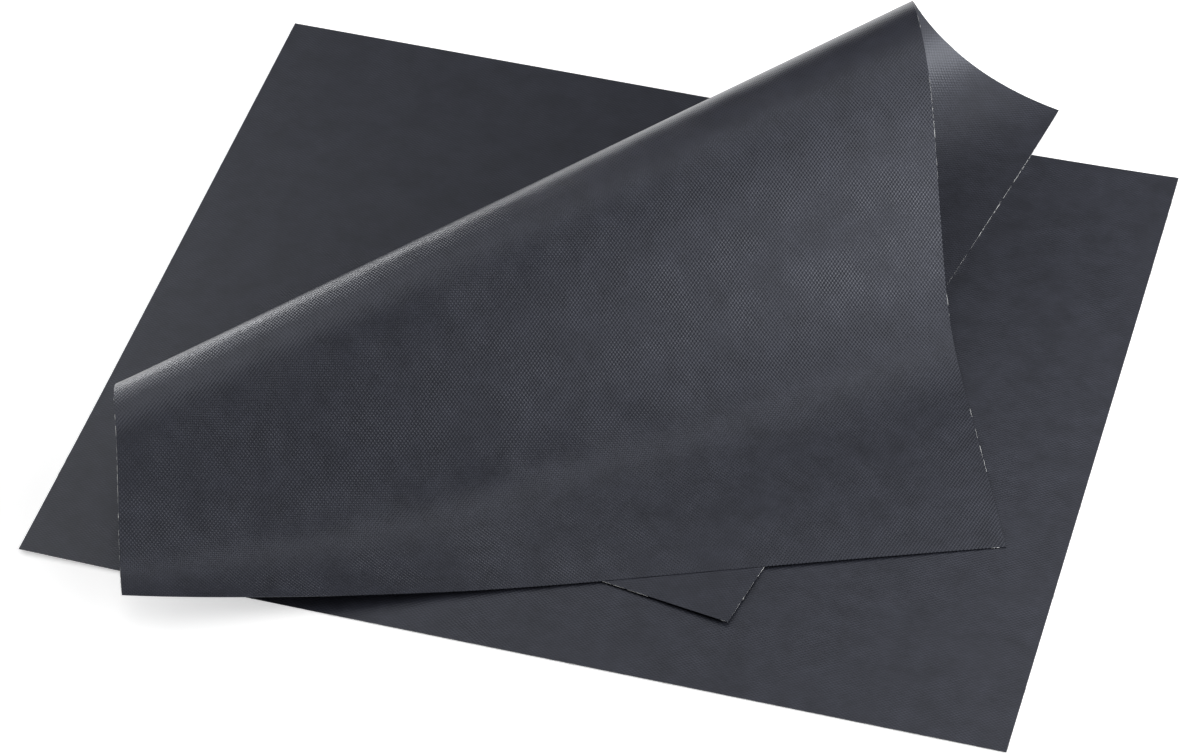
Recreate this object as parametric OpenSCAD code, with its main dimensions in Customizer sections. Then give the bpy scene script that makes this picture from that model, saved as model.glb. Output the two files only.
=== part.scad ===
// A pair of reusable oven liners: woven glass cloth with a non-stick coat on each face.
// One lies flat. The other lies on it and is folded over in a soft roll.
// X runs along the flat liner's long edge, Y to its far edge, Z up.
// The origin is the centre of the flat liner's underside.

/* [Liners] */
// Long edge of each liner
liner_w = 400; // [340:5:460]
// Short edge of each liner
liner_d = 350; // [300:5:400]
// Thickness of the woven glass cloth
cloth_t = 0.14; // [0.08:0.01:0.3]
// Thickness of the non-stick coat on each face of the cloth
coat_t = 0.05; // [0.03:0.01:0.1]

/* [Place of the folded liner] */
// Its near corner, right of the flat liner's centre
near_corner_x = 80.7; // [70:0.1:90]
// Its near corner, in front of the flat liner's centre
near_corner_y = 138.1; // [125:0.1:150]
// Turn of its short edge away from the flat liner's, clockwise from above, in degrees
lie_angle = 9.9; // [0:0.1:20]
// Clearance between one liner's face and the next
lay_gap = 0.3; // [0.2:0.05:0.6]

/* [Soft roll] */
// The fold's straight lines all meet at one point, this far from the short edge that lies flat
fan_u = 556; // [530:1:580]
// The same point, this far in front of the near long edge
fan_v = 510; // [480:1:540]
// Direction of the roll's middle line, seen from that point, in degrees from the short edge
roll_angle = 28.5; // [28:0.1:29]
// Half of the roll's width, seen from that point, in degrees
roll_half_angle = 6.6; // [6.3:0.1:6.9]
// Turn of the sheet in the roll, in degrees
roll_turn_angle = 215.3; // [213:0.1:217]

/* [Landing of the flap] */
// Direction of the middle line along which the flap bends back to lie down, in degrees
land_angle = 18; // [17.5:0.1:18.5]
// Half of that bend's width, in degrees
land_half_angle = 3; // [1:0.1:4]
// Turn of the sheet in that bend, in degrees
land_turn_angle = 36.5; // [34:0.1:38]

/* [Corners] */
// Rise of the flap's left corner
flap_curl = 14.7; // [0:0.1:25]
// Reach of that rise along the long edge
flap_curl_u = 130; // [100:5:200]
// Reach of that rise along the short edge
flap_curl_v = 190; // [120:5:250]
// Rise of the back layer's near corner
near_curl = 1.2; // [0:0.1:4]
// Reach of that rise along both edges
near_curl_reach = 100; // [60:5:150]

/* [Hidden] */

charcoal = [0.24, 0.25, 0.28];
glass_white = [0.85, 0.85, 0.82];

liner_t = cloth_t + 2 * coat_t;
// Height of the folded liner's mid-surface where it lies flat on the flat liner
lie_z = liner_t + lay_gap + liner_t / 2;

// Bearings are angles from the short edge, seen from the fan point. They rise from the flat
// short edge, through the roll and the landing, to the flap's free edge.
facets = 96;
first_bearing = -(roll_angle + roll_half_angle);
last_bearing = -(land_angle - land_half_angle);
bearing_step = (last_bearing - first_bearing) / facets;

// Bearing at which the back layer ends and the roll begins, as a share of the roll's half width
roll_start_share = 0.55;
// Bearing of the roll's crest, where the flap begins, as a share of the roll's half width
crest_share = 0.45;
roll_start = -(roll_angle + roll_start_share * roll_half_angle);
crest = -(roll_angle - crest_share * roll_half_angle);

// Share of a bend that is turned by a bearing: it grows smoothly from 0 to 1 over the bend
function turned_share(bearing, middle, half_width) =
    let (x = min(1, max(-1, (bearing - middle) / half_width)))
    (1 + x + sin(180 * x) / PI) / 2;

function turned(bearing) =
    roll_turn_angle * turned_share(bearing, -roll_angle, roll_half_angle)
    - land_turn_angle * turned_share(bearing, -land_angle, land_half_angle);

// A facet's frame: the fold line at its start, the direction across it, and its normal
function next_facet(frame, bearing) =
    let (line = cos(bearing_step) * frame[0] + sin(bearing_step) * frame[1])
    let (across = cos(bearing_step) * frame[1] - sin(bearing_step) * frame[0])
    let (fold = turned(bearing + bearing_step / 2) - turned(bearing - bearing_step / 2))
    [line, cos(fold) * across + sin(fold) * frame[2], cos(fold) * frame[2] - sin(fold) * across];

// Directions of the lying sheet's long and short edges
edge_u = [-cos(lie_angle), sin(lie_angle), 0];
edge_v = [sin(lie_angle), cos(lie_angle), 0];
near_corner = [near_corner_x, -near_corner_y, lie_z];
fan_point = near_corner + fan_u * edge_u - fan_v * edge_v;

first_facet = [
    sin(first_bearing) * edge_u + cos(first_bearing) * edge_v,
    cos(first_bearing) * edge_u - sin(first_bearing) * edge_v,
    [0, 0, 1]
];
frames = [
    for (i = 0, frame = first_facet; i <= facets; i = i + 1,
         frame = next_facet(frame, first_bearing + i * bearing_step)) frame
];

function facet_at(place) = min(facets, max(0, floor(place)));
function bearing_of(u, v) = atan2(u - fan_u, v + fan_v);
function place_of(bearing) = (bearing - first_bearing) / bearing_step;
function unit(a) = a / norm(a);

// Place of a facet's middle, as a share of the facet
middle_share = 0.5;

// Normal that turns smoothly from the middle of one facet to the next
function normal_at(place) =
    let (i = facet_at(place - middle_share))
    let (share = min(1, max(0, place - middle_share - i)))
    unit((1 - share) * frames[i][2] + share * frames[min(facets, i + 1)][2]);

// Rise of a corner that curls up: none at its reach, and steeper towards the corner
function curl(rise, from_u, from_v, reach_u, reach_v) =
    rise * pow(max(0, 1 - from_u / reach_u - from_v / reach_v), 2);

// Where the point (u, v) of the flat sheet lies once folded, off its mid-surface by lift.
// u runs along the long edge from the short edge that lies flat, v from the near long edge.
function folded(u, v, lift) =
    let (bearing = bearing_of(u, v), place = place_of(bearing))
    let (i = facet_at(place), inside = bearing - first_bearing - i * bearing_step)
    let (far = norm([u - fan_u, v + fan_v]))
    let (rise = curl(flap_curl, liner_w - u, v, flap_curl_u, flap_curl_v)
              + curl(near_curl, u, v, near_curl_reach, near_curl_reach))
    fan_point + far * (cos(inside) * frames[i][0] + sin(inside) * frames[i][1])
    + lift * normal_at(place) + [0, 0, rise];

// u at which the fold line of a bearing crosses the sheet at v
function crossing(bearing, v) = fan_u + tan(bearing) * (v + fan_v);

// Lines across the sheet, each as its u at the near long edge and at the far one
function fold_lines(from, to, count) =
    [for (i = [0:count]) let (bearing = from + (to - from) * i / count)
        [crossing(bearing, 0), crossing(bearing, liner_d)]];

function lines_between(a, b, count) =
    [for (i = [0:count]) a + (b - a) * i / count];

flat_edge = [0, 0];
free_edge = [liner_w, liner_w];
roll_edge = [crossing(roll_start, 0), crossing(roll_start, liner_d)];
crest_edge = [crossing(crest, 0), crossing(crest, liner_d)];

// Faces along and across each piece of the folded liner
back_columns = 12;
back_rows = 8;
roll_columns = 24;
roll_rows = 3;
flap_columns = 24;
flap_rows = 10;
back_lines = lines_between(flat_edge, roll_edge, back_columns);
roll_lines = fold_lines(roll_start, crest, roll_columns);
flap_lines = lines_between(crest_edge, free_edge, flap_columns);

// A layer of the folded sheet between two heights off its mid-surface
module folded_layer(lines, rows, low, high) {
    columns = len(lines);
    side = columns * (rows + 1);
    points = [
        for (lift = [low, high], line = lines, j = [0:rows])
            let (share = j / rows)
            folded(line[0] + (line[1] - line[0]) * share, liner_d * share, lift)
    ];
    function at(i, j, top) = top * side + i * (rows + 1) + j;
    faces = [
        for (i = [0:columns - 2], j = [0:rows - 1], top = [0, 1])
            let (a = at(i, j, top), b = at(i + 1, j, top))
            let (c = at(i + 1, j + 1, top), d = at(i, j + 1, top))
            each top == 1 ? [[a, c, b], [a, d, c]] : [[a, b, c], [a, c, d]],
        for (i = [0:columns - 2], far = [0, 1])
            let (j = far * rows)
            let (a = at(i, j, 0), b = at(i + 1, j, 0), c = at(i + 1, j, 1), d = at(i, j, 1))
            each far == 0 ? [[a, c, b], [a, d, c]] : [[a, b, c], [a, c, d]],
        for (j = [0:rows - 1], last = [0, 1])
            let (i = last * (columns - 1))
            let (a = at(i, j, 0), b = at(i, j + 1, 0), c = at(i, j + 1, 1), d = at(i, j, 1))
            each last == 0 ? [[a, b, c], [a, c, d]] : [[a, c, b], [a, d, c]]
    ];
    polyhedron(points, faces);
}

module outer_coat(lines, rows) {
    color(charcoal) folded_layer(lines, rows, -liner_t / 2, -cloth_t / 2);
}

module glass_cloth(lines, rows) {
    color(glass_white) folded_layer(lines, rows, -cloth_t / 2, cloth_t / 2);
}

module inner_coat(lines, rows) {
    color(charcoal) folded_layer(lines, rows, cloth_t / 2, liner_t / 2);
}

// A layer of the flat liner from a height over its underside
module flat_layer(height, thickness) {
    translate([-liner_w / 2, -liner_d / 2, height]) cube([liner_w, liner_d, thickness]);
}

module flat_liner_base_coat() {
    color(charcoal) flat_layer(0, coat_t);
}

module flat_liner_cloth() {
    color(glass_white) flat_layer(coat_t, cloth_t);
}

module flat_liner_top_coat() {
    color(charcoal) flat_layer(coat_t + cloth_t, coat_t);
}

module back_layer_outer_coat() {
    outer_coat(back_lines, back_rows);
}

module back_layer_cloth() {
    glass_cloth(back_lines, back_rows);
}

module back_layer_inner_coat() {
    inner_coat(back_lines, back_rows);
}

module roll_outer_coat() {
    outer_coat(roll_lines, roll_rows);
}

module roll_cloth() {
    glass_cloth(roll_lines, roll_rows);
}

module roll_inner_coat() {
    inner_coat(roll_lines, roll_rows);
}

module flap_outer_coat() {
    outer_coat(flap_lines, flap_rows);
}

module flap_cloth() {
    glass_cloth(flap_lines, flap_rows);
}

module flap_inner_coat() {
    inner_coat(flap_lines, flap_rows);
}

flat_liner_base_coat();
flat_liner_cloth();
flat_liner_top_coat();
back_layer_outer_coat();
back_layer_cloth();
back_layer_inner_coat();
roll_outer_coat();
roll_cloth();
roll_inner_coat();
flap_outer_coat();
flap_cloth();
flap_inner_coat();
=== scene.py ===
"""Two loose baking liners of coated glass cloth: one flat, one folded over on it in a soft roll."""

import math
import random

import bmesh
import bpy
from bpy.props import FloatProperty, FloatVectorProperty, IntProperty, PointerProperty
from mathutils import Euler, Matrix, Vector


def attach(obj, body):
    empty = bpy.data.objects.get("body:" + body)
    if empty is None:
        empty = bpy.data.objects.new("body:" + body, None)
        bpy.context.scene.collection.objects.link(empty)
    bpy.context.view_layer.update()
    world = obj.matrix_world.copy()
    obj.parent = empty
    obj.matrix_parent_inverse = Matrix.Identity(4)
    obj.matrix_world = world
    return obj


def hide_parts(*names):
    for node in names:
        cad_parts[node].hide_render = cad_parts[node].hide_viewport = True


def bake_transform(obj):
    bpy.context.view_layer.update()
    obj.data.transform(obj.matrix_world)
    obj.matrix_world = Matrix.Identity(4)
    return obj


bl_info = {
    "name": "Baking liners",
    "version": (1, 0, 0),
    "blender": (4, 5, 0),
    "location": "3D View > Sidebar > Liners",
    "description": "A flat baking liner with a folded one lying on it",
    "category": "Add Mesh",
}

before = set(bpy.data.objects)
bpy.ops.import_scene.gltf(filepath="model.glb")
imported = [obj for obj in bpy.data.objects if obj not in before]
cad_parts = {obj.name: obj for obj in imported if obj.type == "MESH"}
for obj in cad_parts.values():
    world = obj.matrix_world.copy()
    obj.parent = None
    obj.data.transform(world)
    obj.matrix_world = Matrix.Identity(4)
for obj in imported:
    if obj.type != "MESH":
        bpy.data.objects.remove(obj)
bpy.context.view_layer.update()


def linear(hex_colour):
    """Turn an sRGB hex colour such as 2A2C31 into the linear values that a shader takes."""
    values = [int(hex_colour[i : i + 2], 16) / 255 for i in (0, 2, 4)]
    return tuple(v / 12.92 if v <= 0.04045 else ((v + 0.055) / 1.055) ** 2.4 for v in values)


# Columns and rows of the flat liner's grid, and rows of each piece of the folded one
FLAT_GRID = (100, 88)
FOLD_ROWS = 80

# Directions out of the flat sheet at its edges
NEAR, FAR, LEFT, RIGHT = (0, -1), (0, 1), (-1, 0), (1, 0)
# A face counts as facing a direction where at least this share of its normal points there
FACING = 0.9

# Material indices of a sheet: its upper face and sealed cuts, its under face, and its bare cuts
UPPER, UNDER, CUT = 0, 1, 2

# How many features of each noise fit in a metre: clouds in the coating 22 mm across, patches of
# paler crowns 13 mm across, smears of coat 6 mm across on a cut, and filaments 0.4 mm across
CLOUDS, PATCHES, SMEARS, FILAMENTS = 45.0, 75.0, 160.0, 2500.0

# The coat's index of refraction, matched to its shine, and the faint blue of that shine
COAT_IOR = 1.6
SHINE = linear("F0F4FF")
# Painted shade: glass yarn darkened in the hollows between its filaments
SHADED_GLASS = linear("A6A8A8")

# Bare yarn along a cut edge: how far into a stretch its first length may start, the shortest and
# the longest length, and the steps in which a length is bent
YARN_START = 0.003
YARN_LENGTHS = (0.0012, 0.006)
YARN_STEP = 0.001
# The mean break between two lengths where half of the edge is bare, and the shares of it in use
YARN_BREAK = 0.004
BREAK_SHARES = (0.1, 0.3, 0.6, 1.4, 2.6)
# Its sides, and its least and greatest width as shares of the cloth's thickness
YARN_SIDES = 6
YARN_WIDTHS = (1.2, 2.6)
# Shares of its width: at its tips, gained towards its middle, standing out of the edge, and its
# height, because it is pressed a little flat
YARN_TIP, YARN_SWELL, YARN_OUT, YARN_HEIGHT = 0.45, 0.55, 0.12, 0.85

# Half of the floor's side, how far it lies under the liners, and the light that lifts it to white
# where the camera sees it
FLOOR_HALF = 6
FLOOR_DROP = 0.0003
FLOOR_GLOW = 0.6
# Faint light on the liners from all around
ROOM_LIGHT = 0.02


class SheetSizes(bpy.types.PropertyGroup):
    """Sizes of each liner as it is cut."""

    long_edge: FloatProperty(
        name="Long edge", description="Long edge of each liner", default=0.4, min=0.1, unit="LENGTH"
    )
    short_edge: FloatProperty(
        name="Short edge",
        description="Short edge of each liner",
        default=0.35,
        min=0.1,
        unit="LENGTH",
    )
    cloth: FloatProperty(
        name="Cloth",
        description="Thickness of the woven glass cloth",
        default=0.00014,
        precision=5,
        unit="LENGTH",
    )
    coat: FloatProperty(
        name="Coat",
        description="Thickness of the non-stick coat on each face",
        default=0.00005,
        precision=5,
        unit="LENGTH",
    )
    gap: FloatProperty(
        name="Gap",
        description="Clearance between the two liners",
        default=0.0003,
        precision=5,
        unit="LENGTH",
    )
    far_corner_rise: FloatProperty(
        name="Far corner rise",
        description="Rise of the flat liner's far right corner",
        default=0.0023,
        precision=4,
        unit="LENGTH",
    )
    near_corner_rise: FloatProperty(
        name="Near corner rise",
        description="Rise of the flat liner's near left corner",
        default=0.0012,
        precision=4,
        unit="LENGTH",
    )
    corner_reach: FloatProperty(
        name="Corner reach",
        description="Length of edge that rises at a corner",
        default=0.12,
        unit="LENGTH",
    )


class FoldSizes(bpy.types.PropertyGroup):
    """Place of the folded liner and the shape of its fold."""

    corner: FloatVectorProperty(
        name="Near corner",
        description="Folded liner's near corner, from the flat one's centre",
        size=2,
        default=(0.0807, -0.1381),
        subtype="XYZ",
        unit="LENGTH",
    )
    lie: FloatProperty(
        name="Turn",
        description="Clockwise turn of the folded liner on the flat one",
        default=math.radians(9.9),
        subtype="ANGLE",
    )
    fan: FloatVectorProperty(
        name="Fan point",
        description="Where all fold lines meet: its distance from the flat short edge and from "
        "the near long edge",
        size=2,
        default=(0.556, 0.51),
        subtype="XYZ",
        unit="LENGTH",
    )
    roll_at: FloatProperty(
        name="Roll bearing",
        description="Bearing of the roll's middle from the fan point",
        default=math.radians(28.5),
        subtype="ANGLE",
    )
    roll_half: FloatProperty(
        name="Roll half width",
        description="Half of the roll's width, seen from the fan point",
        default=math.radians(6.6),
        subtype="ANGLE",
    )
    roll_turn: FloatProperty(
        name="Roll turn",
        description="Turn of the sheet in the roll",
        default=math.radians(215.3),
        subtype="ANGLE",
    )
    land_at: FloatProperty(
        name="Landing bearing",
        description="Bearing of the bend where the flap lands",
        default=math.radians(18),
        subtype="ANGLE",
    )
    land_half: FloatProperty(
        name="Landing half width",
        description="Half of that bend's width",
        default=math.radians(3),
        subtype="ANGLE",
    )
    land_turn: FloatProperty(
        name="Landing turn",
        description="Turn of the sheet in that bend",
        default=math.radians(36.5),
        subtype="ANGLE",
    )
    flap_rise: FloatProperty(
        name="Flap corner rise",
        description="Rise of the flap's left corner",
        default=0.0147,
        unit="LENGTH",
    )
    flap_reach: FloatVectorProperty(
        name="Flap corner reach",
        description="Reach of that rise along the long and the short edge",
        size=2,
        default=(0.13, 0.19),
        subtype="XYZ",
        unit="LENGTH",
    )
    near_rise: FloatProperty(
        name="Near corner rise",
        description="Rise of the back layer's near corner",
        default=0.0012,
        unit="LENGTH",
    )
    near_reach: FloatProperty(
        name="Near corner reach", description="Reach of that rise", default=0.1, unit="LENGTH"
    )
    settle: FloatProperty(
        name="Settle",
        description="How far the flap's free edge sinks on to what it lies on",
        default=0.00085,
        precision=5,
        unit="LENGTH",
    )
    settle_reach: FloatProperty(
        name="Settle reach", description="Width of the strip that sinks", default=0.1, unit="LENGTH"
    )
    corner_settle: FloatProperty(
        name="Corner settle",
        description="How much further its right corner sinks",
        default=0.0014,
        precision=5,
        unit="LENGTH",
    )
    corner_settle_reach: FloatProperty(
        name="Corner settle reach",
        description="Length of edge that sinks there",
        default=0.14,
        unit="LENGTH",
    )
    start_share: FloatProperty(
        name="Roll start",
        description="Start of the roll piece, as a share of the half width",
        default=0.55,
    )
    crest_share: FloatProperty(
        name="Crest",
        description="Line where the flap piece begins, as a share of the half width",
        default=0.45,
    )


class Finish(bpy.types.PropertyGroup):
    """Colours of the liners and the scale of their weave."""

    # The coat's charcoal, which also shows in the pits between crowns; it is set darker than the
    # coat's mean as painted shade in those pits
    coat: FloatVectorProperty(
        name="Coat",
        description="Charcoal non-stick coat",
        size=3,
        subtype="COLOR",
        default=linear("1C1D23"),
    )
    # Paler than the coat partly because the coat is thinner over a crown, and partly as painted
    # sheen on the crowns
    crown: FloatVectorProperty(
        name="Crowns",
        description="Coat where a thread's crown lifts it",
        size=3,
        subtype="COLOR",
        default=linear("40424D"),
    )
    glass: FloatVectorProperty(
        name="Glass cloth",
        description="Bare glass yarn",
        size=3,
        subtype="COLOR",
        default=linear("DCDDDC"),
    )
    warp: FloatProperty(
        name="Warp spacing",
        description="Distance between neighbouring warp threads, which run across the long edge",
        default=0.00071,
        precision=5,
        unit="LENGTH",
    )
    weft: FloatProperty(
        name="Weft spacing",
        description="Distance between neighbouring weft threads, which run along the long edge",
        default=0.00052,
        precision=5,
        unit="LENGTH",
    )
    # At its true size each crown is about one pixel of the render, so the weave is drawn coarser
    coarse: FloatProperty(
        name="Weave coarseness",
        description="How much coarser than real the weave is drawn",
        default=1.45,
    )
    upper_relief: FloatProperty(
        name="Upper relief",
        description="Height of a crown in the thicker coat of the upper face",
        default=0.00008,
        precision=6,
        unit="LENGTH",
    )
    under_relief: FloatProperty(
        name="Under relief",
        description="Height of a crown in the thinner coat of the under face",
        default=0.00011,
        precision=6,
        unit="LENGTH",
    )


class Stage(bpy.types.PropertyGroup):
    """Camera, floor and lamps."""

    floor: FloatVectorProperty(
        name="Floor",
        description="Plain white floor",
        size=3,
        subtype="COLOR",
        default=linear("F4F4F4"),
    )
    lens: FloatProperty(name="Lens", description="Focal length in millimetres", default=149.79)
    camera: FloatVectorProperty(
        name="Camera",
        description="Place of the camera",
        size=3,
        subtype="XYZ",
        unit="LENGTH",
        default=(0.397476, -1.47811, 1.386752),
    )
    look: FloatVectorProperty(
        name="Look",
        description="Turn of the camera",
        size=3,
        subtype="EULER",
        default=tuple(math.radians(a) for a in (47.6105, -0.2577, 15.634)),
    )
    seed: IntProperty(name="Seed", description="Seed of the chipped edges", default=7)


def add_node(tree, kind, inputs=None, **settings):
    """Add a node with its settings, and set or link its inputs by name or number."""
    made = tree.nodes.new(kind)
    for name, value in settings.items():
        setattr(made, name, value)
    for name, value in (inputs or {}).items():
        if isinstance(value, bpy.types.NodeSocket):
            tree.links.new(value, made.inputs[name])
        else:
            made.inputs[name].default_value = value
    return made


def new_material(name):
    """An empty node material, its node tree and its output."""
    material = bpy.data.materials.new(name)
    material.use_nodes = True
    tree = material.node_tree
    tree.nodes.clear()
    return material, tree, add_node(tree, "ShaderNodeOutputMaterial")


def rgba(colour):
    """A colour property with full opacity."""
    return (*colour, 1.0)


def weave(tree, sheet_uv, warp, weft):
    """Height of a plain weave: 1 where a warp thread passes over a weft thread, -1 at a pit."""
    split = add_node(tree, "ShaderNodeSeparateXYZ", {0: sheet_uv})
    over = []
    for axis, spacing in ((0, warp), (1, weft)):
        phase = {0: split.outputs[axis], 1: math.pi / spacing}
        turn = add_node(tree, "ShaderNodeMath", phase, operation="MULTIPLY").outputs[0]
        over.append(add_node(tree, "ShaderNodeMath", {0: turn}, operation="SINE").outputs[0])
    both = {0: over[0], 1: over[1]}
    return add_node(tree, "ShaderNodeMath", both, operation="MULTIPLY").outputs[0]


def coat_material(finish, name, crown_height, smoothest, roughest):
    """Cured charcoal non-stick coat: satin, with the weave pressing through it as fine relief."""
    material, tree, output = new_material(name)
    uv = add_node(tree, "ShaderNodeUVMap", uv_map="sheet").outputs[0]
    crowns = weave(tree, uv, finish.warp * finish.coarse, finish.weft * finish.coarse)
    # Uneven coating: soft clouds two centimetres across, in which the weave shows more or less
    clouds = add_node(
        tree,
        "ShaderNodeTexNoise",
        {"Vector": uv, "Scale": CLOUDS, "Detail": 3.0, "Roughness": 0.55},
    )
    thin = add_node(
        tree,
        "ShaderNodeMapRange",
        {
            "Value": clouds.outputs["Fac"],
            "From Min": 0.35,
            "From Max": 0.65,
            "To Min": 0.55,
            "To Max": 1.0,
        },
    ).outputs[0]
    pressed = add_node(
        tree, "ShaderNodeMath", {0: crowns, 1: thin}, operation="MULTIPLY"
    ).outputs[0]
    height = add_node(
        tree, "ShaderNodeMath", {0: pressed, 1: 0.5, 2: 0.5}, operation="MULTIPLY_ADD"
    ).outputs[0]
    # Uneven threads and wiping marks: the crowns are paler in soft patches a centimetre across
    slubs = add_node(
        tree,
        "ShaderNodeTexNoise",
        {"Vector": uv, "Scale": PATCHES, "Detail": 4.0, "Roughness": 0.75},
    )
    shown = add_node(
        tree,
        "ShaderNodeMapRange",
        {
            "Value": slubs.outputs["Fac"],
            "From Min": 0.3,
            "From Max": 0.7,
            "To Min": 0.35,
            "To Max": 1.1,
        },
    ).outputs[0]
    # How much of the paler crown colour shows: partly the thinner coat, and partly painted sheen on
    # the crowns and painted shade in the pits
    crown_and_sheen_share = add_node(
        tree, "ShaderNodeMath", {0: height, 1: shown}, operation="MULTIPLY"
    ).outputs[0]
    # The coat is thin and rubbed smooth on the crowns, and thick and a little rougher in the pits.
    # The crowns are drawn paler partly for that thin coat and partly as painted sheen, and the pits
    # darker as painted shade
    colour = add_node(
        tree,
        "ShaderNodeMix",
        {"Factor": crown_and_sheen_share, 6: rgba(finish.coat), 7: rgba(finish.crown)},
        data_type="RGBA",
    )
    roughness = add_node(
        tree, "ShaderNodeMapRange", {"Value": height, "To Min": roughest, "To Max": smoothest}
    )
    relief = add_node(
        tree, "ShaderNodeBump", {"Strength": 1.0, "Distance": crown_height, "Height": height}
    )
    shader = add_node(
        tree,
        "ShaderNodeBsdfPrincipled",
        {
            "Base Color": colour.outputs[2],
            "Roughness": roughness.outputs[0],
            "IOR": COAT_IOR,
            "Specular Tint": rgba(SHINE),
            "Normal": relief.outputs[0],
        },
    )
    tree.links.new(shader.outputs[0], output.inputs[0])
    return material


def cut_material(finish):
    """Cut face of the cloth: pale ends of glass yarn, partly smeared with the coats beside them."""
    material, tree, output = new_material("cut glass cloth")
    uv = add_node(tree, "ShaderNodeUVMap", uv_map="sheet").outputs[0]
    smear = add_node(tree, "ShaderNodeTexNoise", {"Vector": uv, "Scale": SMEARS, "Detail": 3.0})
    share = add_node(
        tree,
        "ShaderNodeMapRange",
        {"Value": smear.outputs["Fac"], "From Min": 0.42, "From Max": 0.58},
    )
    colour = add_node(
        tree,
        "ShaderNodeMix",
        {"Factor": share.outputs[0], 6: rgba(finish.coat), 7: rgba(finish.glass)},
        data_type="RGBA",
    )
    shader = add_node(
        tree, "ShaderNodeBsdfPrincipled", {"Base Color": colour.outputs[2], "Roughness": 0.7}
    )
    tree.links.new(shader.outputs[0], output.inputs[0])
    return material


def yarn_material(finish):
    """Bare glass yarn where the coat has chipped off: white filaments with a soft shine."""
    material, tree, output = new_material("bare glass yarn")
    uv = add_node(tree, "ShaderNodeUVMap", uv_map="sheet").outputs[0]
    filaments = add_node(
        tree, "ShaderNodeTexNoise", {"Vector": uv, "Scale": FILAMENTS, "Detail": 1.0}
    )
    # Painted shade: the noise darkens the glass in flecks that stand for the hollows between
    # filaments
    colour = add_node(
        tree,
        "ShaderNodeMix",
        {"Factor": filaments.outputs["Fac"], 6: rgba(SHADED_GLASS), 7: rgba(finish.glass)},
        data_type="RGBA",
    )
    shader = add_node(
        tree, "ShaderNodeBsdfPrincipled", {"Base Color": colour.outputs[2], "Roughness": 0.45}
    )
    tree.links.new(shader.outputs[0], output.inputs[0])
    return material


def upper_coat(finish):
    """Coat of the upper face, on which food lies."""
    name = "cured non-stick coat, upper face"
    return coat_material(finish, name, finish.upper_relief, smoothest=0.32, roughest=0.42)


def under_coat(finish):
    """Coat of the under face: it is thinner, so the weave shows more."""
    name = "cured non-stick coat, under face"
    return coat_material(finish, name, finish.under_relief, smoothest=0.24, roughest=0.34)


SHARED = {}


def shared_material(make, finish):
    """Make a material once, and give it again to each piece that takes it."""
    found = bpy.data.materials.get(SHARED.get(make.__name__, ""))
    if found is None:
        found = make(finish)
        SHARED[make.__name__] = found.name
    return found


def sheet_materials(finish):
    """The materials of a sheet, in the order of its material indices."""
    return [shared_material(make, finish) for make in (upper_coat, under_coat, cut_material)]


def curl(rise, from_u, from_v, reach_u, reach_v):
    """Rise of a corner that curls up: none at its reach, and steeper towards the corner."""
    return rise * max(0, 1 - from_u / reach_u - from_v / reach_v) ** 2


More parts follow.
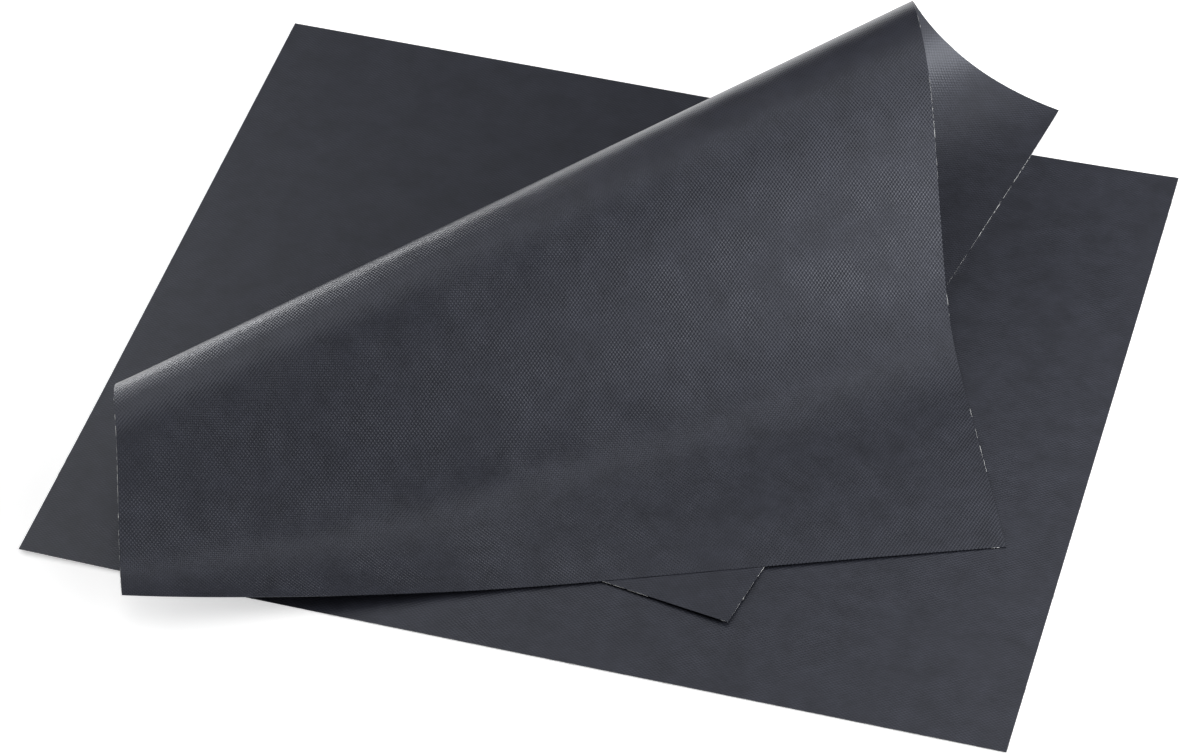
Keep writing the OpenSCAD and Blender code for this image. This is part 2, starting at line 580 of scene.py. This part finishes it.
class Fold:
    """Bends the flat sheet without stretching it: all its fold lines meet at one fan point."""

    # Narrow facets from the roll's first fold line to the landing's last
    STEPS = 480
    # Share of the short edge over which the sinking of the flap's free edge sets in
    LYING_SHARE = 0.4

    def __init__(self, sizes, fold):
        self.sizes, self.fold = sizes, fold
        thickness = sizes.cloth + 2 * sizes.coat
        along = Vector((-math.cos(fold.lie), math.sin(fold.lie), 0))
        away = Vector((math.sin(fold.lie), math.cos(fold.lie), 0))
        # Its mid-surface lies one liner, the gap and half of its own thickness above the floor
        corner = Vector((*fold.corner, 1.5 * thickness + sizes.gap))
        self.fan_point = corner + fold.fan[0] * along - fold.fan[1] * away
        self.first = -(fold.roll_at + fold.roll_half)
        self.step = (-(fold.land_at - fold.land_half) - self.first) / self.STEPS
        line = math.sin(self.first) * along + math.cos(self.first) * away
        across = math.cos(self.first) * along - math.sin(self.first) * away
        normal = Vector((0, 0, 1))
        self.frames = [(line, across, normal)]
        for i in range(1, self.STEPS + 1):
            bearing = self.first + i * self.step
            turn = self.turned(bearing + self.step / 2) - self.turned(bearing - self.step / 2)
            line, across = (
                math.cos(self.step) * line + math.sin(self.step) * across,
                math.cos(self.step) * across - math.sin(self.step) * line,
            )
            across, normal = (
                math.cos(turn) * across + math.sin(turn) * normal,
                math.cos(turn) * normal - math.sin(turn) * across,
            )
            self.frames.append((line, across, normal))

    def turned(self, bearing):
        """Turn of the sheet up to a bearing: it grows smoothly across the roll and the landing."""

        def share(middle, half):
            x = min(1, max(-1, (bearing - middle) / half))
            return (1 + x + math.sin(math.pi * x) / math.pi) / 2

        fold = self.fold
        rolled = fold.roll_turn * share(-fold.roll_at, fold.roll_half)
        return rolled - fold.land_turn * share(-fold.land_at, fold.land_half)

    def crossings(self, share):
        """Where a fold line crosses the near and the far edge, as distances from the short edge.

        The line is given by its bearing, as a share of the roll's half width from its middle.
        """
        bearing = -(self.fold.roll_at + share * self.fold.roll_half)
        return [
            self.fold.fan[0] + math.tan(bearing) * (v + self.fold.fan[1])
            for v in (0, self.sizes.short_edge)
        ]

    def rise(self, u, v):
        """Rise of the corners that curl up, less the sinking of the flap's free edge."""
        fold = self.fold
        from_edge, from_far = self.sizes.long_edge - u, self.sizes.short_edge - v
        rise = curl(fold.flap_rise, from_edge, v, *fold.flap_reach)
        rise += curl(fold.near_rise, u, v, fold.near_reach, fold.near_reach)
        # The flap's own weight presses its free edge down, most of all at the right corner
        lying = min(1, v / (self.LYING_SHARE * self.sizes.short_edge)) ** 2
        rise -= lying * curl(fold.settle, from_edge, 0, fold.settle_reach, 1)
        reach = fold.corner_settle_reach
        return rise - curl(fold.corner_settle, from_edge, from_far, reach, reach)

    def place(self, u, v, lift):
        """Where a point of the flat sheet lies once folded, off its mid-surface by lift."""
        across, along = u - self.fold.fan[0], v + self.fold.fan[1]
        far, bearing = math.hypot(across, along), math.atan2(across, along)
        at = (bearing - self.first) / self.step
        i = min(self.STEPS, max(0, math.floor(at)))
        inside = bearing - self.first - i * self.step
        line, side, _ = self.frames[i]
        # The normal turns smoothly from the middle of one facet to the middle of the next
        j = min(self.STEPS - 1, max(0, math.floor(at - 0.5)))
        share = min(1, max(0, at - 0.5 - j))
        normal = self.frames[j][2].lerp(self.frames[j + 1][2], share).normalized()
        point = self.fan_point + far * (math.cos(inside) * line + math.sin(inside) * side)
        return point + lift * normal + Vector((0, 0, self.rise(u, v)))


def extrude(bm, faces, offset, keep):
    """Extrude faces by an offset, the old ones kept or not. Gives the new faces and vertices."""
    made = bmesh.ops.extrude_face_region(bm, geom=faces)["geom"]
    verts = [g for g in made if isinstance(g, bmesh.types.BMVert)]
    bmesh.ops.translate(bm, verts=verts, vec=offset)
    if not keep:
        bmesh.ops.delete(bm, geom=faces, context="FACES")
    return [g for g in made if isinstance(g, bmesh.types.BMFace)], verts


def lay(bm, where):
    """Keep each vertex's place in the flat sheet as its UV, and move it to where it lies."""
    uv = bm.loops.layers.uv.new("sheet")
    for face in bm.faces:
        for loop in face.loops:
            loop[uv].uv = loop.vert.co.xy
    for vert in bm.verts:
        vert.co = where(*vert.co)


def sheet_mesh(near, far, columns, rows, sizes, where, bare):
    """A closed sheet of cloth between two coats.

    near and far hold its first and last u at the near and the far edge. It is made flat, a coat,
    the cloth and a coat thick, and then moved to where it lies. Its cut shows pale cloth on the
    sides that bare lists by their directions, and is sealed with coat on the others.
    """
    bm = bmesh.new()
    bmesh.ops.create_grid(bm, x_segments=columns, y_segments=rows, size=0.5)
    half = sizes.cloth / 2 + sizes.coat
    for vert in bm.verts:
        s, t = vert.co.x + 0.5, vert.co.y + 0.5
        first = near[0] + (far[0] - near[0]) * t
        last = near[1] + (far[1] - near[1]) * t
        vert.co = (first + (last - first) * s, sizes.short_edge * t, -half)
    bmesh.ops.reverse_faces(bm, faces=bm.faces)
    top = list(bm.faces)
    for number, thickness in enumerate((sizes.coat, sizes.cloth, sizes.coat)):
        # The first faces stay, as the under face
        top, _ = extrude(bm, top, (0, 0, thickness), keep=number == 0)
    bmesh.ops.recalc_face_normals(bm, faces=bm.faces)
    for face in bm.faces:
        heights = [v.co.z for v in face.verts]
        rim = max(heights) - min(heights)
        face.smooth = rim < sizes.coat / 2
        shows = any(face.normal.xy.dot(side) > FACING for side in bare)
        if shows and rim > 2 * sizes.coat:
            face.material_index = CUT
        else:
            face.material_index = UNDER if face.normal.z < -FACING else UPPER
    for edge in bm.edges:
        edge.smooth = all(face.smooth for face in edge.link_faces)
    lay(bm, where)
    return bm


def finished(bm, name, materials):
    """Make the object of a finished mesh, at the origin, with its materials."""
    mesh = bpy.data.meshes.new(name)
    bm.to_mesh(mesh)
    bm.free()
    for material in materials:
        mesh.materials.append(material)
    piece = bpy.data.objects.new(name, mesh)
    bpy.context.scene.collection.objects.link(piece)
    return piece


def yarn_length(bm, length, width, steps):
    """A closed length of yarn along X from the origin. Gives its rings of vertices."""
    made = bmesh.ops.create_circle(bm, cap_ends=True, segments=YARN_SIDES, radius=width / 2)
    ring = made["verts"]
    bmesh.ops.rotate(bm, verts=ring, matrix=Matrix.Rotation(math.pi / 2, 3, "Y"))
    cap = list({face for vert in ring for face in vert.link_faces})
    rings = [ring]
    for number in range(steps):
        # The first cap stays, as the yarn's end
        cap, ring = extrude(bm, cap, (length / steps, 0, 0), keep=number == 0)
        rings.append(ring)
    return rings


def edge_yarn(runs, sizes, where, seed, name, material):
    """Bare yarn along cut edges: short lengths where the coat has chipped off the outermost thread.

    Each run is its two ends in the flat sheet, the direction out of the sheet, and its stretches:
    the distances along it at which each starts and ends, and the share of it that is bare.
    """
    pick = random.Random(seed)
    bm = bmesh.new()
    for (u0, v0), (u1, v1), out, stretches in runs:
        length = math.hypot(u1 - u0, v1 - v0)
        du, dv = (u1 - u0) / length, (v1 - v0) / length
        for begin, end, bare in stretches:
            end = min(end, length)
            at = begin + pick.uniform(0, YARN_START)
            while at < end - YARN_STEP:
                run = min(pick.uniform(*YARN_LENGTHS), end - at)
                # At least three steps, so that both tips taper
                steps = max(3, round(run / YARN_STEP))
                width = sizes.cloth * pick.uniform(*YARN_WIDTHS)
                rings = yarn_length(bm, run, width, steps)
                phase = pick.uniform(0, math.tau)
                for number, ring in enumerate(rings):
                    # Slimmer towards its tips, and swaying in and out of the edge
                    slim = YARN_TIP + YARN_SWELL * math.sin(math.pi * number / steps) ** 0.5
                    sway = sizes.cloth / 4 * math.sin(phase + number)
                    along = at + number * run / steps
                    for vert in ring:
                        away = vert.co.y * slim + sway + width * YARN_OUT
                        vert.co = (
                            u0 + du * along + out[0] * away,
                            v0 + dv * along + out[1] * away,
                            vert.co.z * slim * YARN_HEIGHT,
                        )
                at += run + YARN_BREAK * (1 / bare - 1) * pick.choice(BREAK_SHARES)
    for face in bm.faces:
        face.smooth = True
    lay(bm, where)
    bmesh.ops.recalc_face_normals(bm, faces=bm.faces)
    return finished(bm, name, [material])


class LINER_OT_flat_liner(bpy.types.Operator):
    """Make the liner that lies flat"""

    bl_idname = "liner.flat_liner"
    bl_label = "Flat liner"

    def execute(self, context):
        scene = context.scene
        sizes, finish = scene.liner_sheet, scene.liner_finish
        wide, deep = sizes.long_edge, sizes.short_edge
        middle = sizes.cloth / 2 + sizes.coat

        def lie(u, v, lift):
            reach = sizes.corner_reach
            rise = curl(sizes.far_corner_rise, wide - u, deep - v, reach, reach)
            rise += curl(sizes.near_corner_rise, u, v, reach, reach)
            return Vector((u - wide / 2, v - deep / 2, middle + lift + rise))

        outward = [NEAR, RIGHT, FAR, LEFT]
        bm = sheet_mesh((0, wide), (0, wide), *FLAT_GRID, sizes, lie, outward)
        liner = finished(bm, "flat_liner", sheet_materials(finish))
        corners = [(0, 0), (wide, 0), (wide, deep), (0, deep)]
        # A tenth of each edge is bare
        runs = list(zip(corners, corners[1:] + corners[:1], outward, [[(0, wide, 0.1)]] * 4))
        bare_yarn = shared_material(yarn_material, finish)
        seed = scene.liner_stage.seed
        yarn = edge_yarn(runs, sizes, lie, seed, "flat_liner_edge_yarn", bare_yarn)
        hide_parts("flat_liner_base_coat", "flat_liner_cloth", "flat_liner_top_coat")
        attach(liner, "flat_liner")
        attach(yarn, "flat_liner")
        return {"FINISHED"}


def chipped_edges(start, crest, wide, deep):
    """Runs of chipped edge on each piece of the folded liner.

    Their stretches are where the photo shows them: near the corners, and in patches between them.
    """
    back_short = [(0, 0.003, 1), (0.012, 0.05, 0.3), (0.255, 0.32, 0.75)]
    flap_far = [(0.016, 0.058, 0.75), (0.058, 0.18, 0.1), (0.184, 0.192, 0.4), (0.195, 0.212, 0.9)]
    tip = 0.006
    return {
        "back_layer": [
            ((0, 0), (start[0], 0), NEAR, [(0, 0.003, 1), (0.034, 0.056, 0.5)]),
            ((0, 0), (0, deep), LEFT, back_short),
            ((0, deep), (start[1], deep), FAR, [(0, start[1], 0.15)]),
        ],
        "roll": [
            ((start[0], 0), (crest[0], 0), NEAR, [(0, wide, 0.2)]),
            ((start[1], deep), (crest[1], deep), FAR, [(0, wide, 0.2)]),
        ],
        "flap": [
            ((crest[0], 0), (wide, 0), NEAR, [(0, wide, 0.7)]),
            ((crest[1], deep), (wide, deep), FAR, flap_far),
            ((wide, deep), (wide, deep - tip), RIGHT, [(0, tip, 1)]),
        ],
    }


class LINER_OT_folded_liner(bpy.types.Operator):
    """Make the folded liner: its back layer, its roll and its flap"""

    bl_idname = "liner.folded_liner"
    bl_label = "Folded liner"

    def execute(self, context):
        scene = context.scene
        sizes, finish = scene.liner_sheet, scene.liner_finish
        fold = Fold(sizes, scene.liner_fold)
        wide, deep = sizes.long_edge, sizes.short_edge
        start = fold.crossings(scene.liner_fold.start_share)
        crest = fold.crossings(-scene.liner_fold.crest_share)
        materials = sheet_materials(finish)
        bare_yarn = shared_material(yarn_material, finish)
        # Each piece: its ends at the near and at the far edge, its columns, and the sides on which
        # its cut shows cloth
        parts = {
            "back_layer": ((0, start[0]), (0, start[1]), 60, [LEFT, FAR]),
            "roll": ((start[0], crest[0]), (start[1], crest[1]), 200, [NEAR, FAR]),
            "flap": ((crest[0], wide), (crest[1], wide), 110, [NEAR, FAR]),
        }
        chipped = chipped_edges(start, crest, wide, deep)
        made = {}
        for number, (name, (near, far, columns, bare)) in enumerate(parts.items()):
            bm = sheet_mesh(near, far, columns, FOLD_ROWS, sizes, fold.place, bare)
            piece = finished(bm, name, materials)
            seed = scene.liner_stage.seed + number + 1
            yarn_name = name + "_edge_yarn"
            yarn = edge_yarn(chipped[name], sizes, fold.place, seed, yarn_name, bare_yarn)
            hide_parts(name + "_outer_coat", name + "_cloth", name + "_inner_coat")
            made[name] = (piece, yarn)
        for piece in made["back_layer"]:
            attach(piece, "folded_liner")
        for piece in made["flap"]:
            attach(piece, "flap")
        # The roll's pieces keep their places, on no body
        for piece in made["roll"]:
            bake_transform(piece)
        return {"FINISHED"}


def paper_material(stage):
    """Matt white paper: it takes the liners' shadows, and is lifted to white where it is seen."""
    material, tree, output = new_material("matt white paper")
    rays = add_node(tree, "ShaderNodeLightPath").outputs
    seen = rays["Is Camera Ray"]
    for kind in ("Is Glossy Ray", "Is Transmission Ray"):
        either = {0: seen, 1: rays[kind]}
        seen = add_node(tree, "ShaderNodeMath", either, operation="MAXIMUM").outputs[0]
    lift = add_node(tree, "ShaderNodeMath", {0: seen, 1: FLOOR_GLOW}, operation="MULTIPLY")
    white = rgba(stage.floor)
    paper = add_node(tree, "ShaderNodeBsdfDiffuse", {"Color": white})
    glow = add_node(tree, "ShaderNodeEmission", {"Color": white, "Strength": lift.outputs[0]})
    both = add_node(tree, "ShaderNodeAddShader", {0: paper.outputs[0], 1: glow.outputs[0]})
    tree.links.new(both.outputs[0], output.inputs[0])
    return material


def soft_room():
    """A world that is white to the camera, and lights the liners faintly from all around."""
    world = bpy.data.worlds.new("soft room")
    world.use_nodes = True
    tree = world.node_tree
    tree.nodes.clear()
    rays = add_node(tree, "ShaderNodeLightPath").outputs
    level = add_node(
        tree,
        "ShaderNodeMapRange",
        {"Value": rays["Is Camera Ray"], "To Min": ROOM_LIGHT, "To Max": 1.0},
    )
    light = add_node(
        tree, "ShaderNodeBackground", {"Color": (1, 1, 1, 1), "Strength": level.outputs[0]}
    )
    add_node(tree, "ShaderNodeOutputWorld", {0: light.outputs[0]})
    return world


# Each lamp: its compass bearing from straight behind the liners, clockwise from above, its height
# above the floor in degrees, its distance, its width and height, and its power
LAMPS = {
    "right_low_softbox": (90, 21, 0.8, (0.9, 0.5), 6.2),
    "right_softbox": (90, 45, 0.8, (0.6, 0.6), 0.69),
    "back_right_softbox": (45, 45, 0.8, (0.6, 0.6), 1.06),
    "back_softbox": (345, 55, 1.2, (1.1, 0.8), 0.65),
    "left_softbox": (300, 60, 0.8, (0.5, 0.5), 0.3),
    "front_left_softbox": (225, 70, 0.8, (0.6, 0.6), 0.53),
    "back_left_softbox": (300, 30, 2.2, (1.6, 0.8), 14.8),
    "back_left_strip": (302, 5, 2.2, (2.2, 0.25), 14.0),
    "overhead_softbox": (270, 65, 2.2, (2.6, 2.2), 8.5),
}


class LINER_OT_stage(bpy.types.Operator):
    """Make the floor, the lamps and the camera"""

    bl_idname = "liner.stage"
    bl_label = "Stage"

    def execute(self, context):
        scene = context.scene
        stage = scene.liner_stage
        bm = bmesh.new()
        bmesh.ops.create_grid(bm, x_segments=1, y_segments=1, size=FLOOR_HALF)
        bmesh.ops.translate(bm, verts=bm.verts, vec=(0, 0, -FLOOR_DROP))
        floor = finished(bm, "floor", [paper_material(stage)])
        scene.world = soft_room()

        for name, (bearing, height, distance, size, power) in LAMPS.items():
            lamp = bpy.data.lights.new(name, "AREA")
            lamp.shape = "RECTANGLE"
            lamp.size, lamp.size_y = size
            lamp.energy = power
            holder = bpy.data.objects.new(name, lamp)
            turn = Euler((math.radians(height), 0, math.radians(-bearing)))
            holder.location = turn.to_matrix() @ Vector((0, distance, 0))
            holder.rotation_euler = (-holder.location).to_track_quat("-Z", "Y").to_euler()
            holder.visible_camera = False
            scene.collection.objects.link(holder)

        camera = bpy.data.cameras.new("camera")
        camera.lens = stage.lens
        camera.sensor_width = 36
        camera.clip_start, camera.clip_end = 0.05, 50
        holder = bpy.data.objects.new("camera", camera)
        holder.location = stage.camera
        holder.rotation_euler = Euler(stage.look)
        scene.collection.objects.link(holder)
        scene.camera = holder
        scene.view_settings.view_transform = "Standard"
        return {"FINISHED"}


class LINER_PT_panel(bpy.types.Panel):
    """Lists the liners' settings and the pieces that can be made"""

    bl_idname = "LINER_PT_panel"
    bl_label = "Baking liners"
    bl_space_type = "VIEW_3D"
    bl_region_type = "UI"
    bl_category = "Liners"

    def draw(self, context):
        for name in GROUPS:
            box = self.layout.box()
            settings = getattr(context.scene, name)
            for prop in settings.bl_rna.properties:
                if prop.identifier not in ("rna_type", "name"):
                    box.prop(settings, prop.identifier)
        for operator in OPERATORS:
            self.layout.operator(operator.bl_idname)


GROUPS = {
    "liner_sheet": SheetSizes,
    "liner_fold": FoldSizes,
    "liner_finish": Finish,
    "liner_stage": Stage,
}
OPERATORS = (LINER_OT_flat_liner, LINER_OT_folded_liner, LINER_OT_stage)


def register():
    for made in (*GROUPS.values(), *OPERATORS, LINER_PT_panel):
        bpy.utils.register_class(made)
    for name, group in GROUPS.items():
        setattr(bpy.types.Scene, name, PointerProperty(type=group))


def unregister():
    for name in GROUPS:
        delattr(bpy.types.Scene, name)
    for made in reversed((*GROUPS.values(), *OPERATORS, LINER_PT_panel)):
        bpy.utils.unregister_class(made)


def main():
    """Register, and make every piece and the stage."""
    register()
    bpy.ops.liner.flat_liner()
    bpy.ops.liner.folded_liner()
    bpy.ops.liner.stage()


if __name__ == "__main__":
    main()
